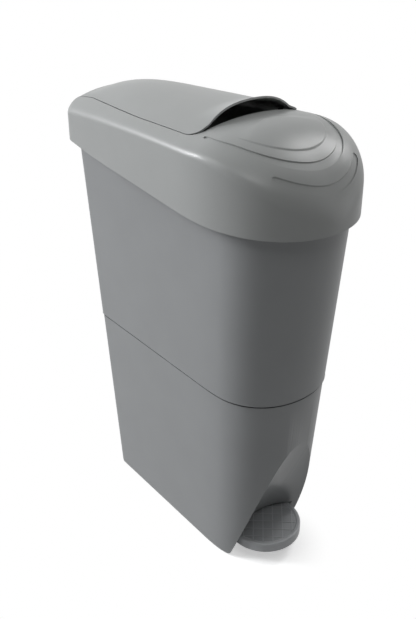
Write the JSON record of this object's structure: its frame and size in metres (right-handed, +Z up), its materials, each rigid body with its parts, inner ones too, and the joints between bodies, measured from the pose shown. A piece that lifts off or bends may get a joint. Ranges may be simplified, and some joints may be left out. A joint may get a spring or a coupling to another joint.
{
  "type": "sanitary container",
  "caption": "Tall tapered pedal bin for sanitary waste, with an overhanging domed hood, a rear flap with an arched front edge and a round pedal in a scooped foot.",
  "frame": {"origin": "on the floor, in the middle of the object's outline seen from above", "axes": "+Z up, -Y to the front where the pedal is, +X to the right seen from behind"},
  "size_m": [0.2112, 0.4024, 0.6066],
  "materials": {
    "grey_plastic": "fine moulded satin",
    "dark_plastic": "moulded satin",
    "steel": "zinc plated",
    "rubber": "matte"
  },
  "bodies": {
    "base": {"axle_block_left": "dark_plastic", "axle_block_right": "dark_plastic", "axle_clip_left": "steel", "axle_clip_right": "steel", "block_screw_left_back": "steel", "block_screw_left_front": "steel", "block_screw_right_back": "steel", "block_screw_right_front": "steel", "body_shell": "grey_plastic", "foot_back_left": "rubber", "foot_back_right": "rubber", "foot_front_left": "rubber", "foot_front_right": "rubber", "guide_screw_lower_left": "steel", "guide_screw_lower_right": "steel", "guide_screw_upper_left": "steel", "guide_screw_upper_right": "steel", "liner_ring": "dark_plastic", "pedal_axle": "steel", "rod_guide_lower": "dark_plastic", "rod_guide_upper": "dark_plastic"},
    "pedal": {"pedal_lever": "steel", "pedal_tread": "grey_plastic", "tread_screw_front": "steel", "tread_screw_back": "steel"},
    "rod": {"push_rod": "steel", "rod_foot": "dark_plastic", "rod_head": "dark_plastic"},
    "hood": {"hood_cover": "grey_plastic", "modesty_shield": "dark_plastic", "shield_screw_left": "steel", "shield_screw_right": "steel", "hinge_pin_left": "steel", "hinge_pin_right": "steel", "flap_bumper_left": "rubber", "flap_bumper_right": "rubber"},
    "flap": {"flap_lid": "grey_plastic", "flap_crank": "dark_plastic", "crank_screw_left": "steel", "crank_screw_right": "steel"}
  },
  "joints": [
    {"name": "pedal_hinge", "type": "hinge", "parent": "base", "child": "pedal", "pos_m": [0, 0.012, 0.0215], "axis": [1, 0, 0], "range_deg": [0, 5.4]},
    {"name": "rod_slide", "type": "slide", "parent": "base", "child": "rod", "axis": [0, 0.0515, 0.9987], "range_m": [0, 0.0121]},
    {"name": "hood_lift", "type": "slide", "parent": "base", "child": "hood", "axis": [0, 0, 1], "range_m": [0, 0.12]},
    {"name": "flap_hinge", "type": "hinge", "parent": "hood", "child": "flap", "pos_m": [0, 0.18, 0.563], "axis": [-1, 0, 0], "range_deg": [0, 48.1]}
  ],
  "couplings": [
    {"joint": "flap_hinge", "follows": "pedal_hinge", "ratio": 8.8889},
    {"joint": "rod_slide", "follows": "pedal_hinge", "m_per_rad": 0.12718}
  ]
}
